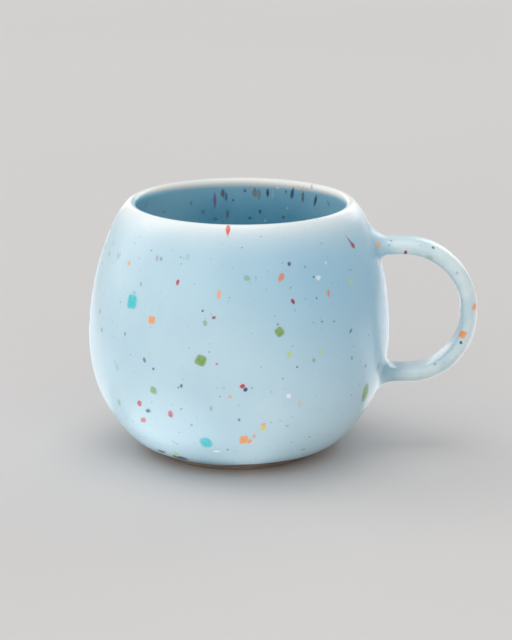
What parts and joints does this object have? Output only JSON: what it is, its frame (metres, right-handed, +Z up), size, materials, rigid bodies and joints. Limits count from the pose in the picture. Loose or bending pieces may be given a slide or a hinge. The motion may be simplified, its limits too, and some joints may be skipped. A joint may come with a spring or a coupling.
{
  "type": "mug",
  "caption": "Round-bellied glazed stoneware mug with a narrowed mouth, a rounded lip, a low standing ring and a C-shaped strap handle.",
  "frame": {"origin": "on the vessel's axis, in the plane that the standing ring rests on", "axes": "+Z up along the vessel's axis, +X towards the middle of the handle, +Y across the handle strap"},
  "size_m": [0.1225, 0.095, 0.08],
  "materials": {
    "stoneware_clay": "matte",
    "foot_clay": "matte",
    "pale_blue_glaze": "gloss",
    "blue_liner_glaze": "gloss",
    "handle_glaze": "gloss"
  },
  "bodies": {
    "root": {"cup_body": "stoneware_clay", "foot_ring": "foot_clay", "handle": "stoneware_clay", "upper_slip_joint": "stoneware_clay", "lower_slip_joint": "stoneware_clay", "outer_glaze": "pale_blue_glaze", "liner_glaze": "blue_liner_glaze", "handle_glaze": "handle_glaze"}
  },
  "joints": []
}
